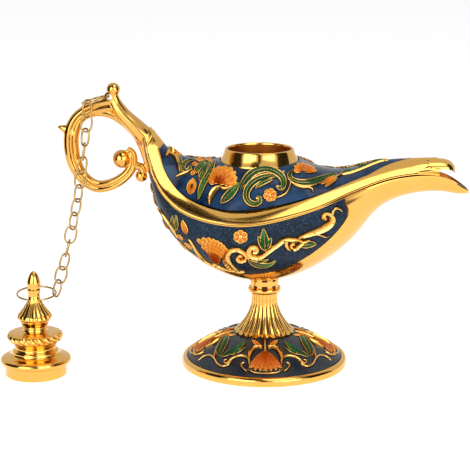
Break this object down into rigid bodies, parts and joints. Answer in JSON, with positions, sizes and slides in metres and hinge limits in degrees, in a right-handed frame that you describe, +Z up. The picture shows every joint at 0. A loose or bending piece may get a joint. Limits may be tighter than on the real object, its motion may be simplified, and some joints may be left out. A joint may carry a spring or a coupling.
{
  "type": "genie lamp",
  "caption": "Footed genie lamp: boat-shaped enamelled bowl and cover with a long spout, open round mouth, scroll handle and a lift-off stopper tethered by a chain.",
  "frame": {"origin": "centre of the foot's underside, on the surface the lamp stands on", "axes": "+X along the spout, +Y across the lamp away from the stopper, +Z up"},
  "size_m": [0.1572, 0.0564, 0.0967],
  "materials": {
    "gold": "polished gilt",
    "chain_gold": "bright gilt wire",
    "steel": "plain",
    "bowl_enamel": "speckled navy resin enamel",
    "cover_enamel": "glossy blue resin enamel",
    "foot_enamel": "slate blue resin enamel"
  },
  "bodies": {
    "lamp": {"foot": "gold", "foot_enamel": "foot_enamel", "foot_screw": "steel", "foot_washer": "steel", "stem_knop": "gold", "bowl": "gold", "bowl_enamel": "bowl_enamel", "cover": "gold", "cover_enamel": "cover_enamel", "mouth_collar": "gold", "handle": "gold"},
    "handle_ring": {"handle_ring": "chain_gold"},
    "chain_link_01": {"chain_link_01": "chain_gold"},
    "chain_link_02": {"chain_link_02": "chain_gold"},
    "chain_link_03": {"chain_link_03": "chain_gold"},
    "chain_link_04": {"chain_link_04": "chain_gold"},
    "chain_link_05": {"chain_link_05": "chain_gold"},
    "chain_link_06": {"chain_link_06": "chain_gold"},
    "chain_link_07": {"chain_link_07": "chain_gold"},
    "chain_link_08": {"chain_link_08": "chain_gold"},
    "chain_link_09": {"chain_link_09": "chain_gold"},
    "chain_link_10": {"chain_link_10": "chain_gold"},
    "chain_link_11": {"chain_link_11": "chain_gold"},
    "chain_link_12": {"chain_link_12": "chain_gold"},
    "chain_link_13": {"chain_link_13": "chain_gold"},
    "chain_link_14": {"chain_link_14": "chain_gold"},
    "stopper_ring": {"stopper_ring": "chain_gold"},
    "stopper": {"stopper": "gold"}
  },
  "joints": [
    {"name": "handle_ring_swing", "type": "hinge", "parent": "lamp", "child": "handle_ring", "pos_m": [-0.05187, 0, 0.09205], "axis": [0, 1, 0], "range_deg": [0, 120]},
    {"name": "chain_link_01_swing", "type": "hinge", "parent": "handle_ring", "child": "chain_link_01", "pos_m": [-0.05867, -0.0039, 0.09023], "axis": [-0.8192, 0.5299, -0.2195], "range_deg": [0, 30]},
    {"name": "chain_link_02_swing", "type": "hinge", "parent": "chain_link_01", "child": "chain_link_02", "pos_m": [-0.05899, -0.0041, 0.08549], "axis": [-0.7055, -0.7045, 0.0778], "range_deg": [-2, 30]},
    {"name": "chain_link_03_swing", "type": "hinge", "parent": "chain_link_02", "child": "chain_link_03", "pos_m": [-0.05941, -0.0043, 0.08077], "axis": [-0.9963, 0.0036, 0.0856], "range_deg": [-2, 30]},
    {"name": "chain_link_04_swing", "type": "hinge", "parent": "chain_link_03", "child": "chain_link_04", "pos_m": [-0.0599, -0.00449, 0.07605], "axis": [-0.7033, 0.7095, 0.0432], "range_deg": [-2, 30]},
    {"name": "chain_link_05_swing", "type": "hinge", "parent": "chain_link_04", "child": "chain_link_05", "pos_m": [-0.06049, -0.00469, 0.07135], "axis": [0, 0.9991, -0.0419], "range_deg": [-2, 30]},
    {"name": "chain_link_06_swing", "type": "hinge", "parent": "chain_link_05", "child": "chain_link_06", "pos_m": [-0.06115, -0.00489, 0.06665], "axis": [0.7004, 0.7024, -0.1269], "range_deg": [-2, 30]},
    {"name": "chain_link_07_swing", "type": "hinge", "parent": "chain_link_06", "child": "chain_link_07", "pos_m": [-0.06189, -0.00509, 0.06196], "axis": [-0.9879, 0.0065, 0.1548], "range_deg": [-2, 30]},
    {"name": "chain_link_08_swing", "type": "hinge", "parent": "chain_link_07", "child": "chain_link_08", "pos_m": [-0.06272, -0.00528, 0.05729], "axis": [-0.6966, 0.7116, 0.092], "range_deg": [-10, 30]},
    {"name": "chain_link_09_swing", "type": "hinge", "parent": "chain_link_08", "child": "chain_link_09", "pos_m": [-0.06363, -0.00548, 0.05264], "axis": [0.6943, 0.7009, -0.1634], "range_deg": [-10, 30]},
    {"name": "chain_link_10_swing", "type": "hinge", "parent": "chain_link_09", "child": "chain_link_10", "pos_m": [-0.06462, -0.00567, 0.048], "axis": [-0.6919, 0.7126, 0.1162], "range_deg": [-10, 30]},
    {"name": "chain_link_11_swing", "type": "hinge", "parent": "chain_link_10", "child": "chain_link_11", "pos_m": [-0.06568, -0.00586, 0.04338], "axis": [-0.9747, 0.0094, 0.2233], "range_deg": [-10, 30]},
    {"name": "chain_link_12_swing", "type": "hinge", "parent": "chain_link_11", "child": "chain_link_12", "pos_m": [-0.06684, -0.00606, 0.03878], "axis": [0, 0.9991, -0.0419], "range_deg": [-10, 30]},
    {"name": "chain_link_13_swing", "type": "hinge", "parent": "chain_link_12", "child": "chain_link_13", "pos_m": [-0.06807, -0.00625, 0.0342], "axis": [0.6833, 0.6989, -0.2114], "range_deg": [-10, 30]},
    {"name": "chain_link_14_swing", "type": "hinge", "parent": "chain_link_13", "child": "chain_link_14", "pos_m": [-0.06938, -0.00644, 0.02964], "axis": [-0.9617, 0.0115, 0.2739], "range_deg": [-10, 30]},
    {"name": "stopper_ring_swing", "type": "hinge", "parent": "chain_link_14", "child": "stopper_ring", "pos_m": [-0.07077, -0.00663, 0.0251], "axis": [-0.6525, 0.739, 0.1676], "range_deg": [-10, 40]},
    {"name": "stopper_swing", "type": "hinge", "parent": "stopper_ring", "child": "stopper", "pos_m": [-0.07696, -0.01305, 0.02543], "axis": [1, 0, 0], "range_deg": [-90, 50]}
  ]
}
